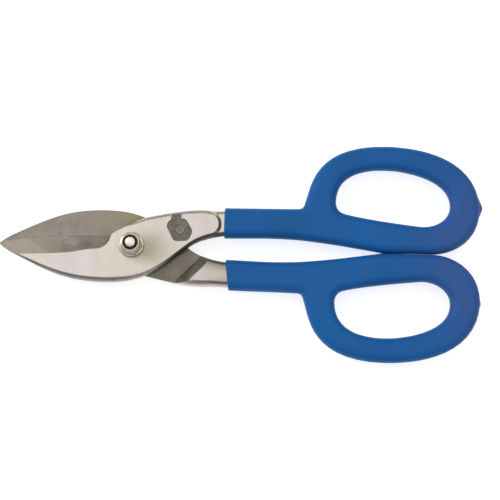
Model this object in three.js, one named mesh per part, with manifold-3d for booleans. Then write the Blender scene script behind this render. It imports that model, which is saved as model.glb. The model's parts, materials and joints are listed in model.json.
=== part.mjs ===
// Straight-pattern tinner's snips, 305 mm long, with looped handles dipped in vinyl.
// Two alike drop-forged halves cross at a pivot bolt. Each half is one forging: a jaw, a flat that rides
// on the other half, a shank and a finger loop, and a vinyl grip covers the shank and the loop.
// Millimetres, +Z up. The snips lie on their side: jaws towards -X, handles towards +X, and the origin is
// the middle of the bottom of the closed snips' box.
import * as THREE from "three";
import { mergeVertices } from "three/addons/utils/BufferGeometryUtils.js";
import Module from "manifold-3d";

// Driving dimensions
const JAW_REACH = 84; // pivot to the tips
const HANDLE_REACH = 221; // pivot to the end of the loops
const PLATE = 6.5; // thickness of one half at the pivot
const TIP_PLATE = 2.4; // thickness of one half at the tip
const TAPER_START = -30; // the jaws thin from here to the tips
const RIDE_GAP = 0.15; // each half stands this far from the plane where they meet
const PLATE_CHAMFER = 1.6;

const GRIP_HALF = 5.8; // half the thickness of a grip
const GRIP_ROUND = 4.6; // rounding of a grip's long edges
const VINYL = 1.5; // wall of a grip
const CORE_GAP = 0.3; // between a grip and the steel in it
const CORE_CHAMFER = 2;
const MOUTH_X = 59.2; // where a grip begins
const DRIP_Y = 30.5; // how far a loop's drip is from the middle line
const HANDLE_GAP = 0.2; // each loop stops this far from the middle line

const BEVEL_LOW = new THREE.Vector2(-23, -3); // where the ground bevel leaves the outer face, at the heel
const BEVEL_RUNOUT_RADIUS = 10; // of the grinding wheel's mark at the heel
const EDGE_LAND = 1.4; // height of the cutting edge's face at the heel
const TIP_LAND = 0.7; // and at the tip

const RAMP_TURN = THREE.MathUtils.degToRad(44); // which way the shank's ramp faces
const RAMP_START = 34.8; // pivot to the foot of the ramp
const RAMP_RUN = 6.5;

const BOLT_RADIUS = 4;
const BOLT_FLAT = 3.5; // half the width across the neck's two flats
const BOLT_PLAY = 0.2; // clearance of the holes round the bolt
const HEX_ACROSS = 13; // flats of the bolt's head and of the nut
const HEAD_HEIGHT = 5.3;
const NUT_HEX_HEIGHT = 6.2;
const NUT_HEIGHT = 8;
const NUT_COLLAR_RADIUS = 5.9;
const INSERT_RADIUS = 5;
const INSERT_HEIGHT = 1.8;
const WASHER_RADIUS = 8;
const WASHER = 1.6;
const SEAT_GAP = 0.2; // between pieces that are stacked on the bolt
const BOLT_PROUD = 1; // how far the bolt stands out of the nut

const MARK_DEPTH = 0.5; // depth of the plain size panel pressed into each half

// Heights in the stack on the bolt, from the plane where the halves meet
const WASHER_Z = PLATE + SEAT_GAP;
const NUT_Z = WASHER_Z + WASHER + SEAT_GAP;
const BOLT_END_Z = NUT_Z + NUT_HEIGHT + BOLT_PROUD;
const HEAD_BOTTOM_Z = -NUT_Z - HEAD_HEIGHT;

const wasm = await Module();
wasm.setup();

// Geometry helpers

function toSolid(geometry) {
  const bare = geometry.clone();
  bare.deleteAttribute("normal");
  bare.deleteAttribute("uv");
  const merged = mergeVertices(bare, 1e-4);
  return new wasm.Manifold(
    new wasm.Mesh({
      numProp: 3,
      vertProperties: new Float32Array(merged.attributes.position.array),
      triVerts: new Uint32Array(merged.index.array),
    }),
  );
}

function toGeometry(solid) {
  const mesh = solid.getMesh();
  const geometry = new THREE.BufferGeometry();
  geometry.setAttribute("position", new THREE.BufferAttribute(mesh.vertProperties, 3));
  geometry.setIndex(new THREE.BufferAttribute(mesh.triVerts, 1));
  return geometry;
}

// A flat shape raised from z0 to z1, with its edges rounded or chamfered and its outline unchanged.
function raise(shape, z0, z1, round = 0, steps = 1) {
  const geometry = new THREE.ExtrudeGeometry(shape, {
    depth: z1 - z0 - 2 * round,
    bevelEnabled: round > 0,
    bevelThickness: round,
    bevelSize: round,
    bevelOffset: -round,
    bevelSegments: steps,
    curveSegments: 12,
  });
  return toSolid(geometry.translate(0, 0, z0 + round));
}

function box(low, high) {
  const size = new THREE.Vector3().subVectors(high, low);
  const middle = new THREE.Vector3().addVectors(low, high).multiplyScalar(0.5);
  const geometry = new THREE.BoxGeometry(size.x, size.y, size.z);
  return toSolid(geometry.translate(middle.x, middle.y, middle.z));
}

function cylinder(radius, z0, z1, sides = 36) {
  const geometry = new THREE.CylinderGeometry(radius, radius, z1 - z0, sides);
  return toSolid(geometry.rotateX(Math.PI / 2).translate(0, 0, (z0 + z1) / 2));
}

function hexagon(across, z0, z1) {
  return cylinder(across / Math.sqrt(3), z0, z1, 6);
}

// A closed solid of revolution about Z, from [radius, z] corners that close on themselves or on the axis.
function turned(corners, sides = 36) {
  const profile = corners.map(([radius, z]) => new THREE.Vector2(radius, z));
  return toSolid(new THREE.LatheGeometry(profile, sides).rotateX(Math.PI / 2));
}

// Joins rings of equally many points, given as Vector3, into one closed solid with flat ends.
function loft(rings) {
  const count = rings[0].length;
  const points = rings.flat();
  const faces = [];
  for (let r = 0; r + 1 < rings.length; r++) {
    for (let i = 0; i < count; i++) {
      const a = r * count + i;
      const b = r * count + ((i + 1) % count);
      faces.push(a, b, a + count, b, b + count, a + count);
    }
  }
  const last = (rings.length - 1) * count;
  for (let i = 1; i + 1 < count; i++) {
    faces.push(0, i + 1, i, last, last + i, last + i + 1);
  }
  const geometry = new THREE.BufferGeometry().setFromPoints(points);
  geometry.setIndex(faces);
  return toSolid(geometry);
}

// Moves each point of an open run of points sideways, to the left of the way that it runs.
function inset(points, distance) {
  return points.map((point, i) => {
    const before = points[Math.max(i - 1, 0)];
    const after = points[Math.min(i + 1, points.length - 1)];
    const along = new THREE.Vector2().subVectors(after, before).normalize();
    return new THREE.Vector2(point.x - along.y * distance, point.y + along.x * distance);
  });
}

// Outlines of the half whose handle is on +Y, in the plane where the halves meet, from the pivot

// From near the tip along the jaw's back, round the heel, along the shank's inside and back over the shank.
function traceBack(shape) {
  shape.lineTo(-76, -5.9);
  shape.bezierCurveTo(-50.5, -18.6, -40, -23.2, -16, -23.2);
  shape.bezierCurveTo(11.5, -23.2, 21.5, -10.5, 36, 0.5);
  shape.bezierCurveTo(42, 5, 47, 6.6, 54, 7.6);
  shape.lineTo(54.6, 14);
  shape.bezierCurveTo(54.6, 19.5, 52.5, 24.1, 45, 24.1);
  shape.bezierCurveTo(32, 24.1, 20, 21, 9, 18.6);
}

// The whole plate, with the shoulder and the cutting edge.
function plateOutline() {
  const shape = new THREE.Shape();
  shape.moveTo(-JAW_REACH, 0.4);
  shape.lineTo(-JAW_REACH, -0.3);
  shape.quadraticCurveTo(-81.5, -3.2, -78, -4.9);
  traceBack(shape);
  shape.bezierCurveTo(1, 15.6, -6, 11.6, -13, 6.5);
  shape.bezierCurveTo(-36.5, 5, -61, 7, -JAW_REACH, 0.4);
  return shape;
}

// The blank that the plate is cut from: only its back, heel and shank lie on the plate's outline.
function blankOutline() {
  const shape = new THREE.Shape();
  shape.moveTo(-JAW_REACH - 12, 22);
  shape.lineTo(-JAW_REACH - 12, -3);
  traceBack(shape);
  return shape;
}

// From the mouth of the grip along the inside of the handle, round the loop and back over the shank.
function handleOutline() {
  const inside = HANDLE_GAP;
  const path = new THREE.Path();
  path.moveTo(60, 6.9);
  path.bezierCurveTo(99, 8.3, 108, 7.9, 158, inside);
  path.lineTo(190, inside);
  path.bezierCurveTo(199, inside, 219, 6, 220, 29);
  path.bezierCurveTo(219, 63, 183, 69.4, 160, 69.4);
  path.bezierCurveTo(113.5, 69.4, 112.4, 41.3, 109, 31.8);
  path.quadraticCurveTo(107.4, 27.2, 102.5, 27);
  path.lineTo(60, 26.4);
  return path.getPoints(9);
}

function fingerHole() {
  const path = new THREE.Path();
  path.moveTo(160, 53.9);
  path.bezierCurveTo(175, 53.9, 201.2, 48, 201.2, 31.5);
  path.bezierCurveTo(201.2, 23.4, 193.3, 17.4, 183, 17.6);
  path.bezierCurveTo(176, 18.3, 148, 21.1, 134, 24.6);
  path.quadraticCurveTo(128.6, 26, 128.4, 32);
  path.bezierCurveTo(128.4, 50, 145, 53.9, 160, 53.9);
  return path.getPoints(8).slice(0, -1);
}

// A closed run of points moved outwards all round, for the steel inside the finger hole's grip.
function widen(points, distance) {
  const wrapped = [points.at(-1), ...points, points[0]];
  return inset(wrapped, distance).slice(1, -1);
}

// The shank and the loop, at a depth below the grip's surface, with its left end at the given points.
function handleShape(depth, leftEnd) {
  const around = inset(handleOutline(), depth);
  const shape = new THREE.Shape([...around, ...leftEnd]);
  shape.holes.push(new THREE.Path(widen(fingerHole(), depth)));
  return shape;
}

// Pieces of one half

// Height of the ground bevel above the plane where the halves meet.
function bevelHeight(x, y) {
  const towardsHeel = (x + JAW_REACH) / (JAW_REACH + BEVEL_LOW.x);
  const land = THREE.MathUtils.lerp(TIP_LAND, EDGE_LAND, towardsHeel);
  const steep = THREE.MathUtils.lerp(0.22, (PLATE - EDGE_LAND) / (6 - BEVEL_LOW.y), towardsHeel);
  const edge = THREE.MathUtils.lerp(0.3, 6, Math.min(1, towardsHeel * 1.6));
  return land + steep * (edge - y);
}

function bevelCutter() {
  const low = -14;
  const high = 14;
  const ceiling = 2 * PLATE + 8;
  const rings = [];
  for (let x = -JAW_REACH - 4; x <= -4; x += 10) {
    rings.push([
      new THREE.Vector3(x, low, bevelHeight(x, low)),
      new THREE.Vector3(x, high, bevelHeight(x, high)),
      new THREE.Vector3(x, high, ceiling),
      new THREE.Vector3(x, low, ceiling),
    ]);
  }
  const wheelMark = cylinder(BEVEL_RUNOUT_RADIUS, -PLATE, 4 * PLATE, 48).translate(
    BEVEL_LOW.x,
    BEVEL_LOW.y + BEVEL_RUNOUT_RADIUS,
    0,
  );
  const alongJaw = box(
    new THREE.Vector3(-JAW_REACH - 6, -30, -PLATE),
    new THREE.Vector3(BEVEL_LOW.x, 30, 4 * PLATE),
  );
  return loft(rings).intersect(wheelMark.add(alongJaw));
}

function taperCutter() {
  const fall = (PLATE - TIP_PLATE) / (JAW_REACH + TAPER_START);
  const beyond = TAPER_START - 70;
  const section = (y) => [
    new THREE.Vector3(TAPER_START, y, PLATE),
    new THREE.Vector3(TAPER_START, y, 3 * PLATE),
    new THREE.Vector3(beyond, y, 3 * PLATE),
    new THREE.Vector3(beyond, y, PLATE - 70 * fall),
  ];
  return loft([section(40), section(-40)]);
}

// The plain panel pressed into the shank's outer face.
function sizePanel() {
  const corners = [
    [22.2, 13.6],
    [27, 3.4],
    [34, 3.4],
    [37.2, 6.4],
    [37.2, 10.4],
    [32.6, 17.6],
    [25, 17.6],
  ];
  const shape = new THREE.Shape(corners.map(([x, y]) => new THREE.Vector2(x, y)));
  return raise(shape, PLATE - MARK_DEPTH, PLATE + 2);
}

// What has to be cleared under the shank, up to the ramp, for the other half to swing past.
function rampCutter() {
  const deep = -2 * GRIP_HALF;
  const slope = (GRIP_HALF - VINYL) / RAMP_RUN;
  const run = (RIDE_GAP - deep) / slope;
  const section = (across) => [
    new THREE.Vector3(-60, across, RIDE_GAP),
    new THREE.Vector3(-60, across, deep),
    new THREE.Vector3(RAMP_START + run, across, deep),
    new THREE.Vector3(RAMP_START, across, RIDE_GAP),
  ];
  return loft([section(80), section(-80)]).rotate([0, 0, THREE.MathUtils.radToDeg(RAMP_TURN)]);
}

// One forging, with its hole for the bolt.
function forging(boltHole) {
  const below = box(new THREE.Vector3(-120, -60, -30), new THREE.Vector3(80, 60, RIDE_GAP));
  const plate = raise(blankOutline(), -2 * PLATE, PLATE, PLATE_CHAMFER)
    .intersect(raise(plateOutline(), -PLATE, 2 * PLATE))
    .subtract(below)
    .subtract(taperCutter())
    .subtract(bevelCutter());
  const shankEnd = [
    new THREE.Vector2(56, 24),
    new THREE.Vector2(40, 23.2),
    new THREE.Vector2(30, 22),
    new THREE.Vector2(22, 19.5),
    new THREE.Vector2(36, 4.5),
    new THREE.Vector2(42, 5.6),
    new THREE.Vector2(48, 7.3),
    new THREE.Vector2(55, 8.5),
  ];
  const coreHalf = GRIP_HALF - VINYL - CORE_GAP;
  const core = raise(handleShape(VINYL + CORE_GAP, shankEnd), -coreHalf, coreHalf, CORE_CHAMFER)
    .subtract(rampCutter());
  return plate.add(core).subtract(boltHole).subtract(sizePanel());
}

// The hardened drop of vinyl at the end of a loop, where the dipped handle hung to dry.
function drip() {
  const radius = 2.4;
  const height = 2.2;
  const cone = new THREE.ConeGeometry(radius, height, 16);
  return toSolid(cone.rotateZ(-Math.PI / 2).translate(HANDLE_REACH - height / 2, DRIP_Y, 0));
}

function grip() {
  const pastMouth = (depth) => [new THREE.Vector2(48, 26 - depth), new THREE.Vector2(48, 6.5 + depth)];
  const skin = raise(handleShape(0, pastMouth(0)), -GRIP_HALF, GRIP_HALF, GRIP_ROUND, 3);
  const hollowHalf = GRIP_HALF - VINYL;
  const hollow = raise(handleShape(VINYL, pastMouth(VINYL)), -hollowHalf, hollowHalf, CORE_CHAMFER);
  const beforeMouth = box(new THREE.Vector3(40, 0, -10), new THREE.Vector3(MOUTH_X, 40, 10));
  return skin.subtract(hollow).subtract(beforeMouth).add(drip());
}

// Pieces on the pivot

// A round bar with two flats, standing in for the bolt's neck and, with play, for its hole.
function flattenedBar(play, z0, z1) {
  const radius = BOLT_RADIUS + play;
  const flat = BOLT_FLAT + play;
  const between = box(new THREE.Vector3(-radius, -flat, z0 - 1), new THREE.Vector3(radius, flat, z1 + 1));
  return cylinder(radius, z0, z1).intersect(between);
}

function pivotBolt() {
  const endChamfer = 0.7;
  const neckTop = -RIDE_GAP / 2;
  const round = turned([
    [0, neckTop],
    [BOLT_RADIUS, neckTop],
    [BOLT_RADIUS, BOLT_END_Z - endChamfer],
    [BOLT_RADIUS - endChamfer, BOLT_END_Z],
    [0, BOLT_END_Z],
  ]);
  const head = hexagon(HEX_ACROSS, HEAD_BOTTOM_Z, -NUT_Z);
  return round.add(flattenedBar(0, -NUT_Z - 1, neckTop + 1)).add(head);
}

function lockNut() {
  const hexTop = NUT_Z + NUT_HEX_HEIGHT;
  const top = NUT_Z + NUT_HEIGHT;
  const outside = hexagon(HEX_ACROSS, NUT_Z, hexTop).add(cylinder(NUT_COLLAR_RADIUS, hexTop - 1, top));
  const thread = cylinder(BOLT_RADIUS + BOLT_PLAY, NUT_Z - 1, top + 1);
  const insertSeat = cylinder(INSERT_RADIUS, top - INSERT_HEIGHT - SEAT_GAP, top + 1);
  return outside.subtract(thread).subtract(insertSeat);
}

function ring(inner, outer, z0, z1) {
  return turned([
    [inner, z0],
    [outer, z0],
    [outer, z1],
    [inner, z1],
    [inner, z0],
  ]);
}

// Materials

const forgedSteel = new THREE.MeshStandardMaterial({ color: 0xd2cac2, roughness: 0.3, metalness: 1 });
const blueVinyl = new THREE.MeshStandardMaterial({ color: 0x1e5a9e, roughness: 0.5, metalness: 0 });
const zincSteel = new THREE.MeshStandardMaterial({ color: 0xcfc8ac, roughness: 0.35, metalness: 1 });
const darkNylon = new THREE.MeshStandardMaterial({ color: 0x3a322e, roughness: 0.7, metalness: 0 });

function piece(name, solid, material) {
  const mesh = new THREE.Mesh(toGeometry(solid), material);
  mesh.name = name;
  return mesh;
}

// Assembly

const roundHole = cylinder(BOLT_RADIUS + BOLT_PLAY, -1, PLATE + 1);
const keyedHole = flattenedBar(BOLT_PLAY, -PLATE - 1, 1).rotate([180, 0, 0]);

// The front half has its handle on +Y and its jaw's outer face up.
const frontHalf = new THREE.Group();
frontHalf.add(piece("front_blade", forging(roundHole), forgedSteel));
frontHalf.add(piece("front_grip", grip(), blueVinyl));

// The rear half is the same pieces turned over about the long axis. The bolt is keyed into it.
const rearHalf = new THREE.Group();
const turnedOver = new THREE.Group();
turnedOver.rotation.x = Math.PI;
turnedOver.add(piece("rear_blade", forging(keyedHole), forgedSteel));
turnedOver.add(piece("rear_grip", grip(), blueVinyl));
rearHalf.add(turnedOver);
const insertTop = NUT_Z + NUT_HEIGHT - SEAT_GAP;
rearHalf.add(piece("pivot_bolt", pivotBolt(), zincSteel));
rearHalf.add(piece("lock_nut", lockNut(), zincSteel));
rearHalf.add(
  piece(
    "lock_nut_insert",
    ring(BOLT_RADIUS + BOLT_PLAY, INSERT_RADIUS - BOLT_PLAY, insertTop - INSERT_HEIGHT + SEAT_GAP, insertTop),
    darkNylon,
  ),
);
const washerHole = BOLT_RADIUS + 2 * BOLT_PLAY;
rearHalf.add(piece("front_washer", ring(washerHole, WASHER_RADIUS, WASHER_Z, WASHER_Z + WASHER), zincSteel));
rearHalf.add(piece("rear_washer", ring(washerHole, WASHER_RADIUS, -WASHER_Z - WASHER, -WASHER_Z), zincSteel));

const snips = new THREE.Group();
snips.add(frontHalf, rearHalf);
snips.position.set((JAW_REACH - HANDLE_REACH) / 2, 0, -HEAD_BOTTOM_Z);

export default snips;
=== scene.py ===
"""Straight-pattern tinner's snips: two crossed forgings on a bolted pivot, with handles dipped in vinyl.

Each piece is modelled round the pivot. Outlines are in millimetres from the pivot, in the plane where the
halves meet: +X runs to the handles, +Y to the front half's handle, and +Z out of the nut's end.
"""

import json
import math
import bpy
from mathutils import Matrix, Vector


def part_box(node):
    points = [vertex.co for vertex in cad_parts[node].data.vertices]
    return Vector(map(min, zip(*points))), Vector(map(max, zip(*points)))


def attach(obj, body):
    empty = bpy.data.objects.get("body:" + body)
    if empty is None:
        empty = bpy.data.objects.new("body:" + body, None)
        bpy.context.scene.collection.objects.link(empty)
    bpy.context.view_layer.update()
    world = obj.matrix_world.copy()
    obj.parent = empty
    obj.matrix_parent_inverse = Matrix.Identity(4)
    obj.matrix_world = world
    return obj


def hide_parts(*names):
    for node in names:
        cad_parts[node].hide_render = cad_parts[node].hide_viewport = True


bl_info = {
    "name": "Tinner's Snips",
    "version": (1, 0, 0),
    "blender": (4, 5, 0),
    "location": "3D View > Sidebar > Snips",
    "description": "Models forged tinner's snips with dipped handles and a bolted pivot",
    "category": "Add Mesh",
}

import bmesh
import bpy
import numpy as np
from mathutils import Matrix, Vector
from mathutils.geometry import interpolate_bezier

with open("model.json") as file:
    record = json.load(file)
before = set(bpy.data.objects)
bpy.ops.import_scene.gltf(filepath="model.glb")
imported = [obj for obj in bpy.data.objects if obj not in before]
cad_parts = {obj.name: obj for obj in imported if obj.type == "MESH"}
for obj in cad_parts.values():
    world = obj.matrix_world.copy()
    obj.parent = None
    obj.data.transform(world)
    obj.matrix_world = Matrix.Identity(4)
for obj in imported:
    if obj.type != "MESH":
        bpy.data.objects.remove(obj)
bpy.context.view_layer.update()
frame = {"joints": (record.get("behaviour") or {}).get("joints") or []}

MM = 0.001
PIVOT = Vector(frame["joints"][0]["pos_m"])
FRONT_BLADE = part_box("front_blade")
FRONT_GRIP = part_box("front_grip")
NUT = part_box("lock_nut")
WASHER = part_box("front_washer")
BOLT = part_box("pivot_bolt")


# Outlines of the half whose handle is on +Y. Each list is a start, then two handles and an end per curve.

TIP = -84
BACK = [
    (-84, -0.2),
    (-82.6, -1.9), (-79.8, -3.9), (-76, -5.9),
    (-50.5, -18.6), (-40, -23.2), (-16, -23.2),
    (11.5, -23.2), (21.5, -10.5), (36, 0.5),
    (43.5, 6), (50.5, 7), (57.5, 8.2),
    (61, 8.6), (64, 8.7), (70, 8.7),
]
FRONT = [
    (-84, 0.4),
    (-61, 7), (-36.5, 5), (-13, 6.5),
    (-6, 11.6), (1, 15.6), (9, 18.6),
    (20, 21), (32, 24.1), (45, 24.1),
    (50, 24.1), (56, 24.3), (70, 24.6),
]
GRIND_LINE = [
    (-84, -3.8),
    (-80, -5.6), (-76, -7.2), (-71, -7.1),
    (-58, -6.9), (-43, -6.3), (-36, -5.2),
    (-31, -4.2), (-27, -3.2), (-23, -3),
]

# Places along the forging, in millimetres from the pivot.

THINS_FROM = -30  # the plate thins from here to the tip
WHEEL_CENTRE = (-23, 7)  # where the grinding wheel left its mark at the bevel's heel
WHEEL_RADIUS = 10
WHEEL_END = WHEEL_CENTRE[0] + WHEEL_RADIUS
INNER_DROP = (18, 24)  # the inner side falls from the riding face to the shank's
FLAT_START = 5  # pivot to the edge of the shank's flat, square to the ramp
RAMP_START = 34.8  # pivot to the foot of the ramp
RAMP_TURN = 44  # degrees, which way the ramp faces
PLATE_END_CENTRE = (47.4, 15)
PLATE_END_RADIUS = 6.8
STEP_FADE = (46.5, 51)  # the step at the plate's end begins over this stretch
STEP_WIDTH = 1.8
SHANK_CROWN = (44, 52)  # the shank's inner side grows round over this stretch
JOIN = 66
CORE_START = 62  # the loop's core begins inside the forging's end

BORE_PLAY = 0.2
HEX_TURN = math.radians(-21)  # how far the nut and the bolt's head are turned
HEAD_HEIGHT = 5.3
NECK_HALF = 3.5  # half the width across the bolt's flattened neck


class SnipsSizes(bpy.types.PropertyGroup):
    """The sizes of the snips that a maker would change."""

    plate: bpy.props.FloatProperty(
        name="Plate", description="Thickness of each half at the pivot",
        default=FRONT_BLADE[1].z - PIVOT.z, unit="LENGTH",
    )
    tip: bpy.props.FloatProperty(
        name="Tip", description="Thickness of each half at the tip",
        default=2.4 * MM, unit="LENGTH",
    )
    edge_land: bpy.props.FloatProperty(
        name="Edge land", description="Height of the cutting edge's face at the heel",
        default=1.4 * MM, unit="LENGTH",
    )
    edge_round: bpy.props.FloatProperty(
        name="Edge rounding", description="Rounding of the forging's outer edges",
        default=2.3 * MM, unit="LENGTH",
    )
    ride_gap: bpy.props.FloatProperty(
        name="Ride gap", description="How far each half stands from the plane where they meet",
        default=0.15 * MM, unit="LENGTH",
    )
    core: bpy.props.FloatProperty(
        name="Shank", description="Thickness of the steel in the handles",
        default=8 * MM, unit="LENGTH",
    )
    ramp_run: bpy.props.FloatProperty(
        name="Ramp run", description="Length of the ramp between the flat and the shank",
        default=6.1 * MM, unit="LENGTH",
    )
    grip: bpy.props.FloatProperty(
        name="Grip", description="Thickness of a grip",
        default=FRONT_GRIP[1].z - FRONT_GRIP[0].z, unit="LENGTH",
    )
    vinyl: bpy.props.FloatProperty(
        name="Vinyl wall", description="Thickness of the dipped vinyl",
        default=1.5 * MM, unit="LENGTH",
    )
    front_mouth: bpy.props.FloatProperty(
        name="Front mouth", description="Distance from the pivot to where the front grip begins",
        default=FRONT_GRIP[0].x - PIVOT.x - 1.4 * MM, unit="LENGTH",
    )
    rear_mouth: bpy.props.FloatProperty(
        name="Rear mouth", description="Distance from the pivot to where the rear grip begins",
        default=FRONT_GRIP[0].x - PIVOT.x + 1.0 * MM, unit="LENGTH",
    )
    hex_across: bpy.props.FloatProperty(
        name="Across flats", description="Width across the flats of the nut and of the bolt's head",
        default=NUT[1].x - NUT[0].x, unit="LENGTH",
    )
    bolt: bpy.props.FloatProperty(
        name="Bolt radius", description="Radius of the pivot bolt",
        default=4 * MM, unit="LENGTH",
    )


class SnipsColours(bpy.types.PropertyGroup):
    """The colours of the snips' finishes."""

    steel: bpy.props.FloatVectorProperty(
        name="Polished steel", description="Colour of the polished faces",
        default=(0.5, 0.458, 0.425), subtype="COLOR", min=0, max=1,
    )
    ground: bpy.props.FloatVectorProperty(
        name="Ground steel", description="Colour of the ground bevel and of the inner faces",
        default=(0.235, 0.207, 0.178), subtype="COLOR", min=0, max=1,
    )
    scale: bpy.props.FloatVectorProperty(
        name="Forging skin", description="Colour of the steel where no wheel has touched it",
        default=(0.115, 0.104, 0.082), subtype="COLOR", min=0, max=1,
    )
    vinyl: bpy.props.FloatVectorProperty(
        name="Vinyl", description="Colour of the dipped grips",
        default=(0.004, 0.094, 0.31), subtype="COLOR", min=0, max=1,
    )
    zinc: bpy.props.FloatVectorProperty(
        name="Zinc plating", description="Colour of the washers, the nut and the bolt",
        default=(0.62, 0.59, 0.55), subtype="COLOR", min=0, max=1,
    )
    nylon: bpy.props.FloatVectorProperty(
        name="Nylon", description="Colour of the locking ring",
        default=(0.03, 0.022, 0.018), subtype="COLOR", min=0, max=1,
    )
    floor: bpy.props.FloatVectorProperty(
        name="Floor", description="Colour of the floor",
        default=(0.55, 0.55, 0.55), subtype="COLOR", min=0, max=1,
    )


# Modelling helpers


def at(x, y, z):
    """A point given in millimetres from the pivot, in metres in the row's frame."""
    return PIVOT + Vector((x, y, z)) * MM


def deselect():
    """Nothing stays selected or in edit mode."""
    if bpy.context.object and bpy.context.object.mode != "OBJECT":
        bpy.ops.object.mode_set(mode="OBJECT")
    bpy.ops.object.select_all(action="DESELECT")


def pick(piece):
    """The piece alone is selected and active."""
    deselect()
    bpy.context.view_layer.objects.active = piece
    piece.select_set(True)


def edit(piece):
    """Edit mode on the piece, with nothing in it selected."""
    pick(piece)
    bpy.ops.object.mode_set(mode="EDIT")
    bpy.ops.mesh.select_all(action="DESELECT")


def select_faces(piece, test):
    """Selects the faces in edit mode whose middle and normal pass the test."""
    bpy.ops.mesh.select_mode(type="FACE")
    mesh = bmesh.from_edit_mesh(piece.data)
    for face in mesh.faces:
        face.select_set(test(face.calc_center_median(), face.normal))
    bmesh.update_edit_mesh(piece.data)


def select_edges(piece, test):
    """Selects the edges in edit mode whose two ends pass the test."""
    bpy.ops.mesh.select_mode(type="EDGE")
    mesh = bmesh.from_edit_mesh(piece.data)
    for edge in mesh.edges:
        edge.select_set(test(edge.verts[0].co, edge.verts[1].co))
    mesh.select_flush_mode()
    bmesh.update_edit_mesh(piece.data)


def settle(piece):
    """Puts the piece's place and size into its mesh, so that its object stands at the origin."""
    pick(piece)
    bpy.ops.object.transform_apply(location=True, rotation=True, scale=True)


def named(name):
    """The object that was added last, under this name."""
    bpy.context.object.name = name
    return bpy.context.object


def wear(piece, *finishes):
    """The piece has these finishes and no others."""
    piece.data.materials.clear()
    for finish in finishes:
        piece.data.materials.append(finish)


def modify(piece, kind, **settings):
    """Adds a modifier with these settings and applies it."""
    pick(piece)
    modifier = piece.modifiers.new(kind.title(), kind)
    for name, value in settings.items():
        setattr(modifier, name, value)
    bpy.ops.object.modifier_apply(modifier=modifier.name)


def combine(piece, operation, tool):
    """Joins, cuts or intersects the piece with a tool, which is used up."""
    before = len(piece.data.vertices)
    modify(piece, "BOOLEAN", operation=operation, object=tool, solver="MANIFOLD")
    if len(piece.data.vertices) == before:
        raise RuntimeError(f"{tool.name} left {piece.name} as it was")
    bpy.data.objects.remove(tool)


def face_outwards():
    """Turns the faces outwards in edit mode, and leaves it."""
    bpy.ops.mesh.select_all(action="SELECT")
    bpy.ops.mesh.normals_make_consistent(inside=False)
    bpy.ops.object.mode_set(mode="OBJECT")


def finish_mesh(piece, angle=30):
    """Merges doubles, turns the faces outwards and smooths the shading between gentle neighbours."""
    edit(piece)
    bpy.ops.mesh.select_all(action="SELECT")
    bpy.ops.mesh.remove_doubles(threshold=2e-6)
    face_outwards()
    bpy.ops.object.shade_smooth_by_angle(angle=math.radians(angle))


def turn(name, profile):
    """A round piece on the pivot's axis, extruded ring by ring along (radius, height) in millimetres."""
    deselect()
    radius, height = profile[0]
    bpy.ops.mesh.primitive_circle_add(vertices=64, radius=radius * MM, location=at(0, 0, height))
    piece = named(name)
    settle(piece)
    bpy.ops.object.mode_set(mode="EDIT")
    bpy.ops.mesh.select_mode(type="VERT")
    bpy.ops.mesh.select_all(action="SELECT")
    for next_radius, next_height in profile[1:]:
        rise = (next_height - height) * MM
        bpy.ops.mesh.extrude_region_move(TRANSFORM_OT_translate={"value": (0, 0, rise)})
        share = next_radius / radius
        bpy.ops.transform.resize(value=(share, share, 1), center_override=at(0, 0, next_height))
        radius, height = next_radius, next_height
    return piece


def close_ends():
    """Closes the turned piece in edit mode with flat ends on its first and last rings."""
    bpy.ops.mesh.select_all(action="SELECT")
    bpy.ops.mesh.fill_holes(sides=0)
    face_outwards()


def close_ring():
    """Joins the last ring to the first of the turned piece in edit mode, which leaves a hole through it."""
    bpy.ops.mesh.select_all(action="DESELECT")
    bpy.ops.mesh.select_mode(type="EDGE")
    bpy.ops.mesh.select_non_manifold()
    bpy.ops.mesh.bridge_edge_loops()
    face_outwards()


def prism(name, corners, rise):
    """A block extruded from (x, y, z) corners. It is left in edit mode, with its far end selected."""
    deselect()
    bpy.ops.mesh.primitive_circle_add(vertices=len(corners), radius=MM, fill_type="NGON")
    piece = named(name)
    for vertex, corner in zip(piece.data.vertices, corners):
        vertex.co = at(*corner)
    edit(piece)
    bpy.ops.mesh.select_all(action="SELECT")
    bpy.ops.mesh.extrude_region_move(TRANSFORM_OT_translate={"value": rise})
    return piece


def drum(name, radius, low, high, sides=64):
    """A plain prism or cylinder on the pivot's axis, between two heights in millimetres."""
    deselect()
    bpy.ops.mesh.primitive_cylinder_add(
        vertices=sides, radius=radius * MM, depth=(high - low) * MM, location=at(0, 0, (low + high) / 2)
    )
    piece = named(name)
    settle(piece)
    return piece


def hexagon(name, across, low, high):
    """A hexagonal prism on the pivot's axis, turned as the nut and the bolt's head are."""
    piece = drum(name, across / math.sqrt(3), low, high, sides=6)
    pick(piece)
    bpy.ops.transform.rotate(value=HEX_TURN, orient_axis="Z", center_override=PIVOT)
    settle(piece)
    return piece


def along(points):
    """Points along joined cubic curves."""
    steps = 40
    path = []
    for i in range(0, len(points) - 1, 3):
        handles = [Vector((x, y, 0)) for x, y in points[i : i + 4]]
        path += interpolate_bezier(*handles, steps)[:-1]
    path.append(Vector((*points[-1], 0)))
    return path


def level(points, x):
    """The y at each x on joined curves that run in step with x."""
    path = along(points)
    return np.interp(x, [p.x for p in path], [p.y for p in path])


def ease(value, start, end):
    """0 before start, 1 after end, and smooth between them."""
    t = np.clip((value - start) / (end - start), 0, 1)
    return t * t * (3 - 2 * t)


# The forging


def plate_top(x, sizes):
    """Height of the plate's outer face, which thins towards the tip."""
    plate = sizes.plate / MM
    return plate - (plate - sizes.tip / MM) * np.clip((THINS_FROM - x) / (THINS_FROM - TIP), 0, 1)


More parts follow.
